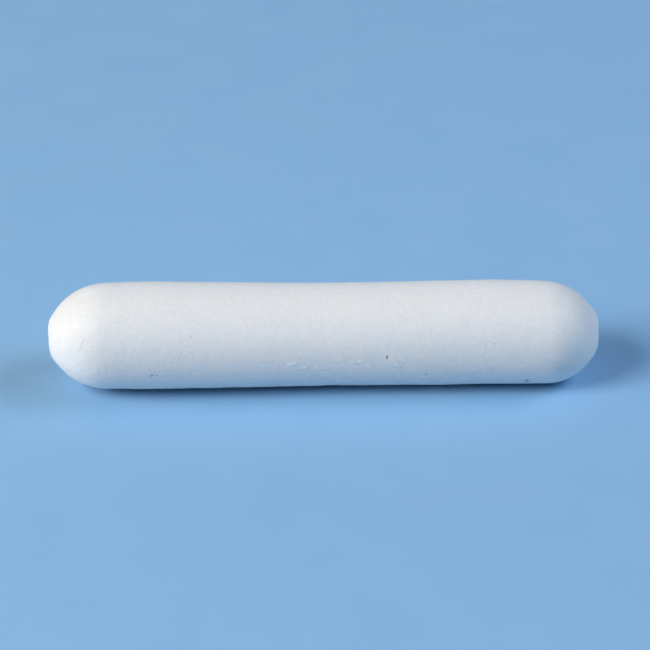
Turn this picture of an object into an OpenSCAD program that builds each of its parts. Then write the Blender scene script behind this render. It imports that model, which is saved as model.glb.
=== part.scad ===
// Magnetic stir bar: a permanent magnet rod sealed in a moulded PTFE jacket.
// The bar lies on its side on the plane z = 0, along X, with its thick end at -X.
// The jacket shrank as it cooled, so it is slimmer at its waist than at its two shoulders.

/* [Jacket] */
// Length of the bar over both noses
bar_length = 40; // [36:0.5:60]
// Diameter at the shoulder of the thick end
thick_d = 7.84; // [7.6:0.02:8.8]
// Diameter at the shoulder of the thin end
thin_d = 7.62; // [7.54:0.02:8.6]
// Diameter at the waist
waist_d = 7.52; // [7:0.02:7.54]
// How far the waist lies from mid length, towards the thin end
waist_offset = 0.2; // [-3:0.1:3]
// Part of the way from shoulder to waist over which the taper starts or fades
taper_ease = 0.12; // [0.05:0.01:0.5]

/* [Ends] */
// Distance from each nose to its shoulder
shoulder_setback = 7.6; // [6:0.1:9]
// Radius of the long flank curve between dome and shoulder
flank_r = 140; // [60:5:200]
// Radius of the dome at the thick end
thick_dome_r = 4.7; // [4.2:0.05:5.4]
// Radius of the dome at the thin end
thin_dome_r = 4.25; // [4:0.05:5.2]
// Diameter of the flat that the moulding pin leaves on each nose
nose_flat_d = 2.1; // [1.2:0.1:2.6]
// Rounding of the rim of each nose flat
rim_r = 0.35; // [0.1:0.05:0.6]

/* [Magnet] */
// Thickness of the jacket over the magnet's side, measured at the waist
side_wall = 1.2; // [0.8:0.05:1.6]
// Thickness of the jacket over each end of the magnet, on the axis
end_wall = 3.5; // [3:0.1:5]
// Gap between the magnet and the jacket, all round
magnet_clearance = 0.02; // [0.01:0.01:0.1]
// Chamfer on both ends of the magnet
magnet_chamfer = 0.35; // [0.1:0.05:0.8]

/* [Hidden] */

// Angle steps per rim, dome and flank arc, and steps from each shoulder to the waist
rim_steps = 6;
dome_steps = 30;
flank_steps = 4;
taper_steps = 24;

half_length = bar_length / 2;
shoulder_z = half_length - shoulder_setback;
magnet_r = waist_d / 2 - side_wall - magnet_clearance;
magnet_half = half_length - end_wall - magnet_clearance;

// Points are [radius, station], with the station along the bar's own axis.
// An arc's angle is 0 where it faces the nose and 90 where it faces straight outwards.
function arc(centre, r, from, to, steps) =
    [for (i = [0:steps]) let (a = from + (to - from) * i / steps) centre + r * [sin(a), -cos(a)]];

// Centre of a circle at distance p_r from point p and q_r from point q, on the waist's side of both
function shared_centre(p, p_r, q, q_r) =
    let (
        gap = norm(q - p),
        along = (q - p) / gap,
        reach = (p_r * p_r - q_r * q_r + gap * gap) / (2 * gap),
        side = sqrt(p_r * p_r - reach * reach)
    )
    p + reach * along + side * [along[1], -along[0]];

// One end from its nose flat to its shoulder, with the nose at station 0:
// the rim, the dome and the flank are arcs that run into one another without a kink
function end_curve(shoulder_r, dome_r) =
    let (
        rim = [nose_flat_d / 2, rim_r],
        flank = [shoulder_r - flank_r, shoulder_setback],
        dome = shared_centre(rim, dome_r - rim_r, flank, flank_r - dome_r),
        rim_turn = atan2(rim[0] - dome[0], dome[1] - rim[1]),
        dome_turn = atan2(dome[0] - flank[0], flank[1] - dome[1])
    )
    concat(
        [[0, 0]],
        arc(rim, rim_r, 0, rim_turn, rim_steps),
        past_first(arc(dome, dome_r, rim_turn, dome_turn, dome_steps)),
        past_first(arc(flank, flank_r, dome_turn, 90, flank_steps))
    );

function past_first(points) = [for (i = [1:len(points) - 1]) points[i]];

// Share of a taper's fall reached at share t of its way: it starts and fades gently, and is straight between
function eased(t) =
    t < taper_ease ? t * t / (2 * taper_ease * (1 - taper_ease))
    : t > 1 - taper_ease ? 1 - (1 - t) * (1 - t) / (2 * taper_ease * (1 - taper_ease))
    : (t - taper_ease / 2) / (1 - taper_ease);

// The points between two ends of a taper, without the ends themselves
function taper(from, to) =
    [for (i = [1:taper_steps - 1])
        let (t = i / taper_steps)
        [from[0] + (to[0] - from[0]) * eased(t), from[1] + (to[1] - from[1]) * t]];

thick_end = [for (p = end_curve(thick_d / 2, thick_dome_r)) [p[0], p[1] - half_length]];
thin_end = [for (p = end_curve(thin_d / 2, thin_dome_r)) [p[0], half_length - p[1]]];
waist = [waist_d / 2, waist_offset];
last = len(thin_end) - 1;

// Half section of the jacket from the thick nose to the thin nose
jacket_outline = concat(
    thick_end,
    taper(thick_end[len(thick_end) - 1], waist),
    [waist],
    taper(waist, thin_end[last]),
    [for (i = [last:-1:0]) thin_end[i]]
);

// The bar leans until both shoulders touch the plane it lies on
lay_angle = atan((thick_d - thin_d) / (4 * shoulder_z));
lift = max([for (p = jacket_outline) p[0] * cos(lay_angle) + p[1] * sin(lay_angle)]);

// Sets a bar that is drawn upright round Z down on its side, thick end at -X
module lay_down() {
    translate([0, 0, lift])
        rotate([0, 90 + lay_angle, 0])
            children();
}

// A round rod with chamfered ends, centred on the origin; grow makes it larger on every side
module rod(grow = 0) {
    r = magnet_r + grow;
    half = magnet_half + grow;
    rotate_extrude($fn = 144)
        polygon([
            [0, -half], [r - magnet_chamfer, -half], [r, magnet_chamfer - half],
            [r, half - magnet_chamfer], [r - magnet_chamfer, half], [0, half]
        ]);
}

module jacket() {
    color([0.93, 0.94, 0.95])
        lay_down()
            difference() {
                rotate_extrude($fn = 144)
                    polygon(jacket_outline);
                rod(magnet_clearance);
            }
}

module magnet() {
    color([0.42, 0.43, 0.45])
        lay_down()
            rod();
}

jacket();
magnet();
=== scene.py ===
import math
import bpy
import bmesh
from mathutils import Matrix, Vector


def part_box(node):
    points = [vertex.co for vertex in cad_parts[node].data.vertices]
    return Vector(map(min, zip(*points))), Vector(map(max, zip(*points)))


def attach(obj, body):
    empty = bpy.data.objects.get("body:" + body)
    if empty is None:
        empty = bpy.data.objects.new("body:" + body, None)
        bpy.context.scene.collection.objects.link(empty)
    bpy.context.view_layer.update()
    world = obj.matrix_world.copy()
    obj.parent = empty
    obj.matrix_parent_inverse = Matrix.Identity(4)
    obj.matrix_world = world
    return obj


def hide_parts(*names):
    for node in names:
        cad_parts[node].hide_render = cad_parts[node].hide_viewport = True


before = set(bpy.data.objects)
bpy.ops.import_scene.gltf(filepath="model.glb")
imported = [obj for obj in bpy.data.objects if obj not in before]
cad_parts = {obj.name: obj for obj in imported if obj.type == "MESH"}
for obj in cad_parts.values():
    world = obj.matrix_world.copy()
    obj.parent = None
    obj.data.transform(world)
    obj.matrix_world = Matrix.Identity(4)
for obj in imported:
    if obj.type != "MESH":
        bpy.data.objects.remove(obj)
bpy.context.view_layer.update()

mm = 0.001
hair = 0.001    # mm, too little to see
jacketLow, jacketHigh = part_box("jacket")
magnetLow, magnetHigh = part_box("magnet")


def clearSelection():
    if bpy.context.object and bpy.context.object.mode != "OBJECT":
        bpy.ops.object.mode_set(mode="OBJECT")
    bpy.ops.object.select_all(action="DESELECT")


def pickOnly(obj):
    clearSelection()
    obj.select_set(True)
    bpy.context.view_layer.objects.active = obj


def startEditing(obj, selectBy="VERT"):
    pickOnly(obj)
    bpy.ops.object.mode_set(mode="EDIT")
    bpy.ops.mesh.select_mode(type=selectBy)
    bpy.ops.mesh.select_all(action="DESELECT")


def selectVerts(obj, wanted):
    mesh = bmesh.from_edit_mesh(obj.data)
    for vert in mesh.verts:
        vert.select = wanted(vert.co)
    mesh.select_flush(True)
    bmesh.update_edit_mesh(obj.data)


def selectNearest(obj, place):
    mesh = bmesh.from_edit_mesh(obj.data)
    closest = min(mesh.verts, key=lambda vert: (vert.co - place).length_squared)
    closest.select = True
    bmesh.update_edit_mesh(obj.data)


def softMove(move, reach):    # in mm, drawing the skin along as far as it reaches
    bpy.ops.transform.translate(value=Vector(move) * mm, use_proportional_edit=True,
                                proportional_edit_falloff="SMOOTH", proportional_size=reach * mm)


# the jacket in mm, as the maker's drawing gives it
barShape = {
    "length": (jacketHigh.x - jacketLow.x) / mm - 0.01,    # its lean makes the box that much longer
    "thickDiameter": (jacketHigh.y - jacketLow.y) / mm,
    "thinDiameter": 7.62,
    "waistDiameter": 7.52,
    "waistOffset": 0.2,      # from mid length towards the thin end
    "taperEase": 0.12,       # part of a taper over which it starts or fades
    "shoulderSetback": 7.6,
    "flankRadius": 140,
    "thickDomeRadius": 4.7,
    "thinDomeRadius": 4.25,
    "noseFlatDiameter": 2.1,
    "rimRadius": 0.35,
    "mergeGap": 0.002,       # closer points of the spun skin become one
    "smoothBelow": 50,       # degrees between two faces
}
barSteps = {"round": 160, "noseFlat": 6, "rim": 6, "dome": 34, "flank": 18, "taper": 60}


def arcPoints(centre, radius, start, end, steps):
    turns = [start + (end - start) * i / steps for i in range(steps + 1)]
    return [(centre[0] + radius * math.sin(a), centre[1] - radius * math.cos(a)) for a in turns]


def sharedCentre(first, firstRadius, second, secondRadius):    # of a circle that runs into both others
    gap = math.dist(first, second)
    along = ((second[0] - first[0]) / gap, (second[1] - first[1]) / gap)
    reach = (firstRadius ** 2 - secondRadius ** 2 + gap ** 2) / (2 * gap)
    side = math.sqrt(firstRadius ** 2 - reach ** 2)
    return (first[0] + reach * along[0] + side * along[1], first[1] + reach * along[1] - side * along[0])


def endCurve(shoulderDiameter, domeRadius):    # from the nose at station 0 to the shoulder
    flat = barShape["noseFlatDiameter"] / 2
    rim = (flat, barShape["rimRadius"])
    flank = (shoulderDiameter / 2 - barShape["flankRadius"], barShape["shoulderSetback"])
    dome = sharedCentre(rim, domeRadius - rim[1], flank, barShape["flankRadius"] - domeRadius)
    rimTurn = math.atan2(rim[0] - dome[0], dome[1] - rim[1])
    domeTurn = math.atan2(dome[0] - flank[0], flank[1] - dome[1])
    points = [(flat * i / barSteps["noseFlat"], 0) for i in range(barSteps["noseFlat"])]
    points += arcPoints(rim, rim[1], 0, rimTurn, barSteps["rim"])
    points += arcPoints(dome, domeRadius, rimTurn, domeTurn, barSteps["dome"])[1:]
    points += arcPoints(flank, barShape["flankRadius"], domeTurn, math.pi / 2, barSteps["flank"])[1:]
    return points


def eased(share):
    ease = barShape["taperEase"]
    if share < ease:
        return share ** 2 / (2 * ease * (1 - ease))
    if share > 1 - ease:
        return 1 - (1 - share) ** 2 / (2 * ease * (1 - ease))
    return (share - ease / 2) / (1 - ease)


def taperPoints(start, end):
    points = []
    for i in range(1, barSteps["taper"]):
        share = i / barSteps["taper"]
        radius = start[0] + (end[0] - start[0]) * eased(share)
        points.append((radius, start[1] + (end[1] - start[1]) * share))
    return points


def halfSection():
    half = barShape["length"] / 2
    thickCurve = endCurve(barShape["thickDiameter"], barShape["thickDomeRadius"])
    thinCurve = endCurve(barShape["thinDiameter"], barShape["thinDomeRadius"])
    thickEnd = [(radius, station - half) for radius, station in thickCurve]
    thinEnd = [(radius, half - station) for radius, station in thinCurve]
    waist = (barShape["waistDiameter"] / 2, barShape["waistOffset"])
    points = thickEnd + taperPoints(thickEnd[-1], waist) + [waist] + taperPoints(waist, thinEnd[-1])
    return points + thinEnd[::-1]


section = halfSection()


def radiusAt(station):
    for (nearR, nearS), (farR, farS) in zip(section, section[1:]):
        if nearS <= station <= farS and farS > nearS:
            return nearR + (farR - nearR) * (station - nearS) / (farS - nearS)
    return 0


def onBar(station, turn):    # turn 0 faces the viewer and 90 faces up, on the bar's own axis
    radius, angle = radiusAt(station), math.radians(turn)
    return Vector((station, -radius * math.cos(angle), radius * math.sin(angle))) * mm


def spinJacket():
    points = [Vector((station, 0, radius)) * mm for radius, station in section]
    clearSelection()
    bpy.ops.mesh.primitive_plane_add(size=mm, location=(0, 0, 0))
    bar = bpy.context.object
    bar.name = "mouldedJacket"
    startEditing(bar)
    bpy.ops.mesh.select_all(action="SELECT")
    bpy.ops.mesh.merge(type="CENTER")
    bpy.ops.transform.translate(value=points[0])
    for here, there in zip(points, points[1:]):
        bpy.ops.mesh.extrude_region_move(TRANSFORM_OT_translate={"value": there - here})
    bpy.ops.mesh.select_all(action="SELECT")
    bpy.ops.mesh.spin(steps=barSteps["round"], angle=2 * math.pi, center=(0, 0, 0), axis=(1, 0, 0))
    bpy.ops.mesh.select_all(action="SELECT")
    bpy.ops.mesh.remove_doubles(threshold=barShape["mergeGap"] * mm)
    bpy.ops.mesh.normals_make_consistent(inside=False)
    clearSelection()
    return bar


jacket = spinJacket()
print("jacket spun:", len(jacket.data.polygons), "faces")

# what cooling and trimming did to the shape, in mm
unevenness = {
    "waistSag": {"from": -5, "to": 5, "move": (0, -0.01, -0.05), "reach": 7},
    "thinNoseDroop": {"move": (0, -0.08, -0.14), "reach": 9.5},
    "noseTrim": {"turn": -60, "move": (0.06, 0, 0), "reach": 1.2},    # the thick nose was trimmed askew
    "presses": [    # station, turn, inward depth, reach
        (-19.985, 66, -0.035, 0.7),
        (-19.985, -8, 0.02, 0.5),
        (-19.45, 122, 0.03, 0.8),
        (-19.2, -58, 0.045, 0.8),
        (-19.8, -58, -0.045, 0.6),
        (-16.1, 122, 0.025, 2.0),
        (-13.6, 122, -0.01, 2.6),
        (-14.9, -58, 0.025, 1.6),
        (-9.3, -58, 0.015, 1.8),
        (-7.4, 122, -0.02, 1.8),
        (-6.9, -58, 0.025, 1.6),
        (-0.9, -58, -0.025, 1.0),
        (0.6, -60, 0.02, 1.2),
        (8.9, -58, -0.025, 3.0),
        (16.8, 122, 0.01, 1.8),
        (19.3, 122, 0.035, 0.9),
        (19.95, 122, -0.035, 0.8),
        (19.985, 68, -0.035, 0.6),
        (19.35, -58, 0.05, 1.0),
        (19.45, -42, 0.045, 0.4),
    ],
    "flash": {"station": 19.68, "turn": -50, "move": (0.04, -0.03, -0.05), "reach": 0.18},    # a tooth
    "swell": {"size": 4.2, "strength": 0.035, "middle": 0.55},
    "orangePeel": {"size": 1.1, "strength": 0.016, "middle": 0.55},
}
slopeStep = 0.05    # mm along the bar over which its slope is read


def inwards(station, turn):
    here = onBar(station, turn)
    ahead = onBar(min(station + slopeStep, barShape["length"] / 2 - hair), turn)
    across = Vector((0, math.sin(math.radians(turn)), math.cos(math.radians(turn))))
    normal = (ahead - here).cross(across).normalized()
    outwards = Vector((0, here.y, here.z))
    return -normal if normal.dot(outwards) > 0 else normal


def pushNearest(bar, place, move, reach):
    bpy.ops.mesh.select_all(action="DESELECT")
    selectNearest(bar, place)
    softMove(move, reach)


def shapeUnevenness(bar):
    sag, droop = unevenness["waistSag"], unevenness["thinNoseDroop"]
    trim, flash = unevenness["noseTrim"], unevenness["flash"]
    halfLength = barShape["length"] / 2
    startEditing(bar)
    selectVerts(bar, lambda co: sag["from"] * mm <= co.x <= sag["to"] * mm)
    softMove(sag["move"], sag["reach"])
    selectVerts(bar, lambda co: co.x >= (halfLength - hair) * mm)
    softMove(droop["move"], droop["reach"])
    pushNearest(bar, onBar(-halfLength, trim["turn"]), trim["move"], trim["reach"])
    for station, turn, depth, reach in unevenness["presses"]:
        pushNearest(bar, onBar(station, turn), inwards(station, turn) * depth, reach)
    pushNearest(bar, onBar(flash["station"], flash["turn"]), flash["move"], flash["reach"])
    clearSelection()


def displace(bar, name):
    wave = unevenness[name]
    pickOnly(bar)
    clouds = bpy.data.textures.new(name, "CLOUDS")
    clouds.noise_scale = wave["size"] * mm
    bpy.ops.object.modifier_add(type="DISPLACE")
    modifier = bar.modifiers[-1]
    modifier.texture = clouds
    modifier.texture_coords = "LOCAL"
    modifier.strength = wave["strength"] * mm
    modifier.mid_level = wave["middle"]
    bpy.ops.object.modifier_apply(modifier=modifier.name)


shapeUnevenness(jacket)
displace(jacket, "swell")
displace(jacket, "orangePeel")
print("jacket shaped")

# small marks in the skin, in mm but for the turns
skinMarks = {
    "pinholes": [    # station, turn, inward depth, reach
        (4.48, 4.0, 0.07, 0.10),
        (-12.48, -16.2, 0.05, 0.08),
        (-10.37, 13.1, 0.03, 0.07),
        (-9.62, 29.6, 0.03, 0.07),
        (14.71, -37.0, 0.03, 0.10),
        (7.35, -20.5, 0.04, 0.07),
        (12.28, 18.8, 0.03, 0.06),
    ],
    "ridges": [    # the rough line where the mould's halves met: two places, inward depth, reach
        (-2.60, -4.6, -2.22, -4.2, -0.024, 0.22),
        (-1.74, -9.6, -1.32, -8.8, -0.020, 0.20),
        (-0.66, -9.4, -0.38, -12.0, -0.020, 0.20),
        (1.95, -2.8, 2.70, -1.8, -0.020, 0.20),
        (5.05, -5.2, 5.40, -8.8, -0.022, 0.20),
        (9.9, -15.0, 10.7, -17.5, -0.020, 0.30),
    ],
    "refineCuts": 3,
    "refineReach": 1.3,     # times a mark's own reach
    "refineLeast": 0.25,
    "stretches": 12,        # of a ridge, each of them pushed at its ends
}


def refineNear(bar, start, end, reach):
    startEditing(bar, "FACE")
    middle, half = (start + end) / 2, (end - start).length / 2
    line = (end - start).normalized()
    mesh = bmesh.from_edit_mesh(bar.data)
    for face in mesh.faces:
        offset = face.calc_center_median() - middle
        along = max(-half, min(half, offset.dot(line)))
        face.select = (offset - line * along).length < reach
    bmesh.update_edit_mesh(bar.data)
    bpy.ops.mesh.subdivide(number_cuts=skinMarks["refineCuts"])
    clearSelection()


def markEnds(mark):    # a pinhole's row holds one place and a ridge's row two
    return mark[:2], mark[-4:-2]


def pushMark(bar, mark):
    first, last = markEnds(mark)
    depth, reach = mark[-2:]
    start, end = onBar(*first), onBar(*last)
    refineNear(bar, start, end, max(skinMarks["refineReach"] * reach, skinMarks["refineLeast"]) * mm)
    startEditing(bar)
    for i in range(skinMarks["stretches"] + 1):
        selectNearest(bar, start + (end - start) * i / skinMarks["stretches"])
    softMove(inwards(*first) * depth, reach)
    clearSelection()


for mark in skinMarks["pinholes"] + skinMarks["ridges"]:
    pushMark(jacket, mark)
print("skin marks pushed:", len(jacket.data.polygons), "faces")

cavityShape = {"clearance": 0.02, "chamfer": 0.35, "round": 96}


# the sealed hollow that the magnet fills: a leaning rod's box is longer than the rod by about one clearance
def addCavity(bar):
    clearance = cavityShape["clearance"] * mm
    radius = (magnetHigh.y - magnetLow.y) / 2 + clearance
    length = magnetHigh.x - magnetLow.x + clearance
    clearSelection()
    bpy.ops.mesh.primitive_cylinder_add(vertices=cavityShape["round"], radius=radius, depth=length,
                                        rotation=(0, math.pi / 2, 0))
    cavity = bpy.context.object
    bpy.ops.object.transform_apply(location=False, rotation=True, scale=False)
    startEditing(cavity, "EDGE")
    mesh = bmesh.from_edit_mesh(cavity.data)
    for edge in mesh.edges:    # the two end circles
        edge.select = abs(edge.verts[0].co.x - edge.verts[1].co.x) < hair * mm
    bmesh.update_edit_mesh(cavity.data)
    bpy.ops.mesh.bevel(offset=cavityShape["chamfer"] * mm, segments=1)
    bpy.ops.mesh.select_all(action="SELECT")
    bpy.ops.mesh.normals_make_consistent(inside=True)
    clearSelection()
    cavity.select_set(True)
    bar.select_set(True)
    bpy.context.view_layer.objects.active = bar
    bpy.ops.object.join()


addCavity(jacket)


def layDown(bar):
    span = barShape["length"] - 2 * barShape["shoulderSetback"]
    lean = math.atan((barShape["thickDiameter"] - barShape["thinDiameter"]) / 2 / span)
    pickOnly(bar)
    bar.rotation_euler = (0, lean, 0)
    bpy.ops.object.transform_apply(location=False, rotation=True, scale=False)
    lowest = min(vert.co.z for vert in bar.data.vertices)
    bar.location = (0, 0, -lowest)
    bpy.ops.object.transform_apply(location=True, rotation=False, scale=False)
    return Matrix.Translation((0, 0, -lowest)) @ Matrix.Rotation(lean, 4, "Y")


laid = layDown(jacket)
pickOnly(jacket)
bpy.ops.object.shade_smooth_by_angle(angle=math.radians(barShape["smoothBelow"]))
print("jacket laid down")


def onSkin(station, turn):    # the same place on the finished piece
    found, place, normal, face = jacket.closest_point_on_mesh(laid @ onBar(station, turn))
    return place


def put(tree, kind, values=None, **settings):
    node = tree.nodes.new(kind)
    for name, setting in settings.items():
        setattr(node, name, setting)
    for name, value in (values or {}).items():
        if isinstance(value, bpy.types.NodeSocket):
            tree.links.new(value, node.inputs[name])
        else:
            node.inputs[name].default_value = value
    return node


def maths(tree, operation, *values):
    node = put(tree, "ShaderNodeMath", dict(enumerate(values)), operation=operation)
    return node.outputs[0]


def vectorMaths(tree, operation, *values):
    node = put(tree, "ShaderNodeVectorMath", dict(enumerate(values)), operation=operation)
    return node.outputs["Value"] if operation in ("LENGTH", "DOT_PRODUCT") else node.outputs["Vector"]


def scaleVector(tree, vector, scale):
    node = put(tree, "ShaderNodeVectorMath", {"Vector": vector, "Scale": scale}, operation="SCALE")
    return node.outputs["Vector"]


def fade(tree, value, fromLow, fromHigh, toLow=0, toHigh=1):    # a smooth step from one value to another
    ends = {"From Min": fromLow, "From Max": fromHigh, "To Min": toLow, "To Max": toHigh}
    node = put(tree, "ShaderNodeMapRange", {"Value": value, **ends}, interpolation_type="SMOOTHSTEP")
    return node.outputs["Result"]


def blendColours(tree, share, first, second):
    node = put(tree, "ShaderNodeMix", {"Factor": share, "A": first, "B": second}, data_type="RGBA")
    return node.outputs["Result"]


def tintWhere(tree, colour, mask, share, tint):
    return blendColours(tree, maths(tree, "MULTIPLY", mask, share), colour, tint)


def addHeights(tree, masks):    # each mask with how high it stands
    total = None
    for mask, height in masks:
        part = maths(tree, "MULTIPLY", mask, height)
        total = part if total is None else maths(tree, "ADD", total, part)
    return total


def addBump(tree, skin, height, depth, strength=1):
    bump = put(tree, "ShaderNodeBump", {"Height": height, "Strength": strength, "Distance": depth * mm})
    tree.links.new(bump.outputs["Normal"], skin.inputs["Normal"])


def newGroup(name, sizes, outputs):
    group = bpy.data.node_groups.new(name, "ShaderNodeTree")
    for label, usual in {"Vector": None, **sizes}.items():
        kind = "NodeSocketVector" if usual is None else "NodeSocketFloat"
        socket = group.interface.new_socket(name=label, in_out="INPUT", socket_type=kind)
        if usual is not None:
            socket.default_value = usual
    for label in outputs:
        group.interface.new_socket(name=label, in_out="OUTPUT", socket_type="NodeSocketFloat")
    return group, group.nodes.new("NodeGroupInput").outputs, group.nodes.new("NodeGroupOutput").inputs


noiseSpread = (0.3, 0.7)    # nearly all of a noise lies between these
streakEdge = {"highest": 0.75, "fall": 0.4, "softness": 0.08}    # the noise where a streak starts
markEdge = {"wobbleSize": 0.12, "outside": 0.6, "inside": 0.25}    # mm, and parts of a mark's width


def mottleGroup():    # broad soft patches and a fine grain, both 0 to 1
    sizes = {"Patch Size": 3 * mm, "Grain Size": 0.2 * mm}
    group, given, result = newGroup("mottle", sizes, ["Patches", "Grain"])
    for size, detail, output in (("Patch Size", 3, "Patches"), ("Grain Size", 2, "Grain")):
        scale = maths(group, "DIVIDE", 1, given[size])
        values = {"Vector": given["Vector"], "Scale": scale, "Detail": detail}
        noise = put(group, "ShaderNodeTexNoise", values)
        group.links.new(fade(group, noise.outputs["Fac"], *noiseSpread), result[output])
    return group


def specksGroup():    # scattered specks, one in some of the cells
    sizes = {"Cell Size": mm, "Speck Size": 0.1 * mm, "Share": 0.3}
    group, given, result = newGroup("specks", sizes, ["Specks"])
    scale = maths(group, "DIVIDE", 1, given["Cell Size"])
    cells = put(group, "ShaderNodeTexVoronoi", {"Vector": given["Vector"], "Scale": scale})
    away = maths(group, "MULTIPLY", cells.outputs["Distance"], given["Cell Size"])
    speck = fade(group, away, given["Speck Size"], 0)
    lot = put(group, "ShaderNodeSeparateColor", {"Color": cells.outputs["Color"]}).outputs["Red"]
    drawn = maths(group, "LESS_THAN", lot, given["Share"])
    group.links.new(maths(group, "MULTIPLY", speck, drawn), result["Specks"])
    return group


# lines along X where they are long along X, or rings round X where they are long across it
def streaksGroup():
    sizes = {"Along X": 4 * mm, "Across X": 0.1 * mm, "Share": 0.2}
    group, given, result = newGroup("streaks", sizes, ["Streaks"])
    along = maths(group, "DIVIDE", 1, given["Along X"])
    across = maths(group, "DIVIDE", 1, given["Across X"])
    stretch = put(group, "ShaderNodeCombineXYZ", {"X": along, "Y": across, "Z": across}).outputs["Vector"]
    stretched = vectorMaths(group, "MULTIPLY", given["Vector"], stretch)
    noise = put(group, "ShaderNodeTexNoise", {"Vector": stretched, "Scale": 1, "Detail": 2})
    fall = maths(group, "MULTIPLY", given["Share"], streakEdge["fall"])
    edge = maths(group, "SUBTRACT", streakEdge["highest"], fall)
    full = maths(group, "ADD", edge, streakEdge["softness"])
    group.links.new(fade(group, noise.outputs["Fac"], edge, full), result["Streaks"])
    return group


def handMarkGroup():    # one mark from Start to End, or a spot where they are the same place
    sizes = {"Start": None, "End": None, "Width": 0.1 * mm}
    group, given, result = newGroup("handMark", sizes, ["Mark"])
    wobbleScale = 1 / (markEdge["wobbleSize"] * mm)
    noise = put(group, "ShaderNodeTexNoise", {"Vector": given["Vector"], "Scale": wobbleScale, "Detail": 1})
    shake = vectorMaths(group, "SUBTRACT", noise.outputs["Color"], (0.5, 0.5, 0.5))
    place = vectorMaths(group, "ADD", given["Vector"], scaleVector(group, shake, given["Width"]))
    offset = vectorMaths(group, "SUBTRACT", place, given["Start"])
    line = vectorMaths(group, "SUBTRACT", given["End"], given["Start"])
    lengths = vectorMaths(group, "DOT_PRODUCT", line, line)
    share = maths(group, "DIVIDE", vectorMaths(group, "DOT_PRODUCT", offset, line), lengths)
    held = put(group, "ShaderNodeClamp", {"Value": share}).outputs["Result"]
    nearest = scaleVector(group, line, held)
    away = vectorMaths(group, "LENGTH", vectorMaths(group, "SUBTRACT", offset, nearest))
    outside = maths(group, "MULTIPLY", given["Width"], markEdge["outside"])
    inside = maths(group, "MULTIPLY", given["Width"], markEdge["inside"])
    group.links.new(fade(group, away, outside, inside), result["Mark"])
    return group


mottle, specks, streaks, handMark = mottleGroup(), specksGroup(), streaksGroup(), handMarkGroup()


def useGroup(tree, group, values):
    return put(tree, "ShaderNodeGroup", values, node_tree=group).outputs


def newMaterial(name, sockets):
    material = bpy.data.materials.new(name)
    material.use_nodes = True
    tree = material.node_tree
    skin = tree.nodes["Principled BSDF"]
    for socket, value in sockets.items():
        skin.inputs[socket].default_value = value
    return material, tree, skin, put(tree, "ShaderNodeTexCoord").outputs["Object"]


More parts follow.
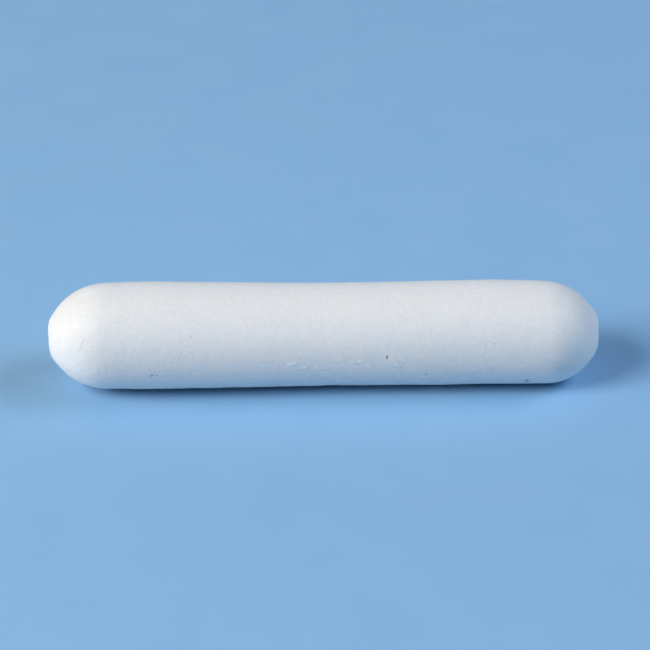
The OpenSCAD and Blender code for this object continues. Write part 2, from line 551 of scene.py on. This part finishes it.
ptfe = {
    "sockets": {
        "IOR": 1.35,
        "Subsurface Weight": 0.6,
        "Subsurface Radius": (1, 0.95, 0.9),
        "Subsurface Scale": 0.45 * mm,
    },
    "cooler": (0.888, 0.890, 0.890, 1),
    "warmer": (0.908, 0.880, 0.880, 1),
    "greyer": (0.818, 0.812, 0.811, 1),
    "speck": (0.52, 0.55, 0.6, 1),
    "dirt": (0.20, 0.23, 0.28, 1),
    # the pale colour of the painted highlights
    "highlightPaint": (0.965, 0.97, 0.975, 1),
    "roughness": (0.42, 0.56),
    "cast": {"Patch Size": 1.3 * mm, "Grain Size": 0.28 * mm},
    "peel": {"Patch Size": 0.7 * mm, "Grain Size": 0.12 * mm},
    "dots": {"Cell Size": 1.5 * mm, "Speck Size": 0.07 * mm, "Share": 0.5},
    "rings": {"Along X": 0.16 * mm, "Across X": 2.5 * mm, "Share": 0.35},
    "shows": {"peel": 0.25, "grain": 0.55, "rings": 0.3, "dots": 0.2},    # how much of its tint each gives
    "stands": {    # how high each stands, in parts of the bump's depth
        "peel": 0.6, "grain": 0.3, "fineGrain": 0.12, "dots": -0.6, "rings": -0.12, "marks": -2.5,
    },
    "bumpDepth": 0.016,
    "spots": [    # station, turn, width in mm, how dark
        (-13.3, 6.5, 0.10, 0.15),
        (-12.78, -15.0, 0.12, 0.25),
        (-12.48, -16.2, 0.22, 0.6),
        (-12.27, -11.6, 0.12, 0.2),
        (-12.14, -15.5, 0.16, 0.35),
        (-9.5, -29.2, 0.12, 0.3),
        (-2.59, 85.9, 0.13, 0.2),
        (-2.05, 30.2, 0.16, 0.12),
        (-0.93, -28.2, 0.26, 0.15),
        (0.47, -34.0, 0.28, 0.16),
        (1.88, -30.1, 0.20, 0.16),
        (2.18, 89.8, 0.12, 0.15),
        (3.92, -37.3, 0.28, 0.10),
        (4.5, -19.2, 0.24, 0.16),
        (4.9, -23.8, 0.30, 0.08),
        (5.66, -19.9, 0.30, 0.1),
        (6.73, -0.3, 0.10, 0.15),
        (7.35, -20.5, 0.22, 0.45),
        (12.28, 18.8, 0.16, 0.22),
        (14.74, -37.4, 0.68, 0.26),
    ],
    "scratches": [    # from station and turn to station and turn, width in mm, how dark
        (4.48, 4.7, 4.48, 3.2, 0.19, 0.70),
        (14.70, -35.0, 14.76, -40.2, 0.34, 0.55),
        (-9.62, 30.2, -9.62, 29.0, 0.15, 0.24),
        (-10.37, 14.2, -10.37, 12.2, 0.14, 0.26),
        (-10.48, 8.6, -10.50, 4.6, 0.08, 0.16),
        (-10.20, 5.4, -10.18, 1.8, 0.08, 0.16),
        (-10.08, 9.8, -10.06, 6.9, 0.07, 0.10),
        (-17.27, 29.3, -17.46, 23.0, 0.15, 0.13),
        (-17.49, 22.2, -17.68, 14.0, 0.14, 0.12),
        (-17.08, 26.8, -17.06, 21.0, 0.11, 0.06),
        (-16.86, 20.2, -16.80, 18.6, 0.10, 0.07),
        (-16.70, 16.2, -16.64, 14.6, 0.11, 0.06),
        (3.85, -0.6, 4.25, 0.6, 0.14, 0.06),
        (1.96, -4.0, 2.30, -3.8, 0.16, 0.05),
        (-2.44, -7.8, -2.12, -8.1, 0.16, 0.04),
    ],
    "paintedHighlights": [    # the same, with how pale: painted highlights, pale paint on the upper flanks of the mould-line ridges where light catches them, and one soft highlight painted on the thin dome
        (-4.1, -7.4, -3.9, -7.4, 0.16, 0.35),
        (-3.08, -7.7, -2.87, -7.5, 0.16, 0.5),
        (-2.69, -3.2, -2.22, -1.9, 0.20, 0.65),
        (-1.74, -8.7, -1.35, -7.8, 0.18, 0.8),
        (-0.63, -7.9, -0.40, -10.6, 0.18, 0.8),
        (-0.19, -15.6, -0.06, -16.8, 0.16, 0.5),
        (1.78, -27.6, 1.99, -27.0, 0.16, 0.4),
        (2.36, -0.3, 2.75, 0.2, 0.17, 0.55),
        (2.91, -3.6, 3.08, -4.6, 0.16, 0.6),
        (4.30, -19.2, 4.36, -20.6, 0.18, 0.7),
        (4.79, 4.4, 4.97, 3.9, 0.16, 0.45),
        (5.05, -3.7, 5.37, -7.4, 0.18, 0.9),
        (5.40, 3.1, 5.79, -1.1, 0.18, 0.6),
        (18.27, 36.1, 18.69, 32.8, 0.34, 0.6),
    ],
}


def strongestMark(tree, place, marks):
    strongest = None
    for mark in marks:
        first, last = markEnds(mark)
        width, strength = mark[-2:]
        given = {"Vector": place, "Start": onSkin(*first), "End": onSkin(*last), "Width": width * mm}
        shown = maths(tree, "MULTIPLY", useGroup(tree, handMark, given)["Mark"], strength)
        strongest = shown if strongest is None else maths(tree, "MAXIMUM", strongest, shown)
    return strongest


def waxyPtfe():
    material, tree, skin, place = newMaterial("waxyPtfe", ptfe["sockets"])
    cast = useGroup(tree, mottle, {"Vector": place, **ptfe["cast"]})
    peel = useGroup(tree, mottle, {"Vector": place, **ptfe["peel"]})
    dots = useGroup(tree, specks, {"Vector": place, **ptfe["dots"]})["Specks"]
    rings = useGroup(tree, streaks, {"Vector": place, **ptfe["rings"]})["Streaks"]
    marks = strongestMark(tree, place, ptfe["spots"] + ptfe["scratches"])
    paintedHighlights = strongestMark(tree, place, ptfe["paintedHighlights"])
    shows, stands = ptfe["shows"], ptfe["stands"]
    colour = blendColours(tree, cast["Patches"], ptfe["cooler"], ptfe["warmer"])
    colour = tintWhere(tree, colour, peel["Patches"], shows["peel"], ptfe["greyer"])
    colour = tintWhere(tree, colour, cast["Grain"], shows["grain"], ptfe["greyer"])
    colour = tintWhere(tree, colour, rings, shows["rings"], ptfe["greyer"])
    colour = tintWhere(tree, colour, dots, shows["dots"], ptfe["speck"])
    # painted highlights: a paler colour where light would catch the ridges and the thin dome
    colour = blendColours(tree, paintedHighlights, colour, ptfe["highlightPaint"])
    colour = blendColours(tree, marks, colour, ptfe["dirt"])
    tree.links.new(colour, skin.inputs["Base Color"])
    tree.links.new(fade(tree, cast["Grain"], 0, 1, *ptfe["roughness"]), skin.inputs["Roughness"])
    height = addHeights(tree, [
        (peel["Patches"], stands["peel"]),
        (cast["Grain"], stands["grain"]),
        (peel["Grain"], stands["fineGrain"]),
        (dots, stands["dots"]),
        (rings, stands["rings"]),
        (marks, stands["marks"]),
    ])
    addBump(tree, skin, height, ptfe["bumpDepth"])
    return material


jacket.data.materials.clear()
jacket.data.materials.append(waxyPtfe())
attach(jacket, "root")
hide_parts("jacket")
print("jacket finished")

magnetLook = {
    "sockets": {"Metallic": 1},
    "ground": (0.40, 0.40, 0.41, 1),
    "bright": (0.52, 0.52, 0.53, 1),
    "pit": (0.10, 0.095, 0.09, 1),
    "stain": (0.25, 0.22, 0.19, 1),
    "stainShows": 0.35,
    "roughness": (0.28, 0.52),
    "lines": {"Along X": 0.07 * mm, "Across X": 6 * mm, "Share": 0.6},
    "cast": {"Patch Size": 2.2 * mm, "Grain Size": 0.09 * mm},
    "pits": {"Cell Size": 0.9 * mm, "Speck Size": 0.14 * mm, "Share": 0.4},
    "stands": {"lines": 0.3, "pits": -1},
    "bumpDepth": 0.02,
}


def groundAlloy():    # centreless ground, so its lines run round the rod
    material, tree, skin, place = newMaterial("groundAlloy", magnetLook["sockets"])
    lines = useGroup(tree, streaks, {"Vector": place, **magnetLook["lines"]})["Streaks"]
    cast = useGroup(tree, mottle, {"Vector": place, **magnetLook["cast"]})
    pits = useGroup(tree, specks, {"Vector": place, **magnetLook["pits"]})["Specks"]
    colour = blendColours(tree, lines, magnetLook["ground"], magnetLook["bright"])
    colour = tintWhere(tree, colour, cast["Patches"], magnetLook["stainShows"], magnetLook["stain"])
    colour = blendColours(tree, pits, colour, magnetLook["pit"])
    tree.links.new(colour, skin.inputs["Base Color"])
    tree.links.new(fade(tree, cast["Grain"], 0, 1, *magnetLook["roughness"]), skin.inputs["Roughness"])
    stands = magnetLook["stands"]
    height = addHeights(tree, [(lines, stands["lines"]), (pits, stands["pits"])])
    addBump(tree, skin, height, magnetLook["bumpDepth"])
    return material


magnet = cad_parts["magnet"]
magnetFinish = groundAlloy()
for slot in magnet.material_slots:
    slot.material = magnetFinish
print("magnet finished")

floorLook = {
    "size": 1.6,    # m
    "paper": (0.27, 0.51, 0.79, 1),
    "fibre": (0.31, 0.55, 0.82, 1),
    "fibreShows": 0.3,
    "texture": {"Patch Size": 6 * mm, "Grain Size": 0.3 * mm},
    "bumpDepth": 0.01,
    "bumpStrength": 0.4,
    "sockets": {"Roughness": 0.75},
}


def palePaper():
    material, tree, skin, place = newMaterial("palePaper", floorLook["sockets"])
    fibre = useGroup(tree, mottle, {"Vector": place, **floorLook["texture"]})
    paper, shows, tint = floorLook["paper"], floorLook["fibreShows"], floorLook["fibre"]
    colour = tintWhere(tree, paper, fibre["Patches"], shows, tint)
    tree.links.new(colour, skin.inputs["Base Color"])
    addBump(tree, skin, fibre["Grain"], floorLook["bumpDepth"], floorLook["bumpStrength"])
    return material


def addFloor():
    clearSelection()
    bpy.ops.mesh.primitive_plane_add(size=floorLook["size"], location=(0, 0, 0))
    floor = bpy.context.object
    floor.name = "studioFloor"
    floor.data.materials.append(palePaper())


studio = {
    "cameraAzimuth": -1.6,
    "cameraElevation": 32,
    "cameraDistance": 280,    # this and the next four in mm
    "frameWidth": 47.42,
    "aimAcross": 0.095,
    "aimUp": 0.59,
    "nearClip": 10,
    "lights": [    # name, place and size in m, watts, colour
        ("keyLight", (-0.34, -0.20, 0.34), (0.22, 0.22), 1.76, (1, 0.99, 0.95)),
        ("sideLight", (-0.46, -0.08, 0.14), (0.25, 0.12), 0.99, (1, 0.93, 0.83)),
        ("rightFill", (0.34, -0.10, 0.34), (0.25, 0.25), 0.66, (0.54, 0.77, 1)),
        ("rightTop", (0.42, 0.05, 0.42), (0.25, 0.25), 0.93, (0.89, 0.89, 1)),
        ("backFill", (0, 0.46, 0.14), (0.60, 0.20), 0.37, (0.54, 0.77, 1)),
    ],
    "air": {"Color": (0.7, 0.82, 1, 1), "Strength": 0.01},
}


def addLight(name, place, size, watts, colour):
    clearSelection()
    bpy.ops.object.light_add(type="AREA", location=place)
    light = bpy.context.object
    light.name = name
    light.data.shape = "RECTANGLE"
    light.data.size, light.data.size_y = size
    light.data.energy = watts
    light.data.color = colour
    light.rotation_euler = (-Vector(place)).to_track_quat("-Z", "Y").to_euler()


def addAir():
    world = bpy.context.scene.world or bpy.data.worlds.new("studioAir")
    bpy.context.scene.world = world
    world.use_nodes = True
    for name, value in studio["air"].items():
        world.node_tree.nodes["Background"].inputs[name].default_value = value


def addCamera():
    azimuth, elevation = math.radians(studio["cameraAzimuth"]), math.radians(studio["cameraElevation"])
    back = Vector((math.sin(azimuth) * math.cos(elevation), -math.cos(azimuth) * math.cos(elevation),
                   math.sin(elevation)))
    turn = (-back).to_track_quat("-Z", "Y")
    clearSelection()
    bpy.ops.object.camera_add()
    camera = bpy.context.object
    camera.name = "studioCamera"
    barCentre = Vector((0, 0, (jacketLow.z + jacketHigh.z) / 2))
    aim = barCentre + turn @ Vector((studio["aimAcross"], studio["aimUp"], 0)) * mm
    camera.location = aim + back * studio["cameraDistance"] * mm
    camera.rotation_euler = turn.to_euler()
    camera.data.lens = camera.data.sensor_width * studio["cameraDistance"] / studio["frameWidth"]
    camera.data.clip_start = studio["nearClip"] * mm
    bpy.context.scene.camera = camera


addFloor()
for light in studio["lights"]:
    addLight(*light)
addAir()
addCamera()
bpy.context.scene.view_settings.view_transform = "Standard"
print("studio set")
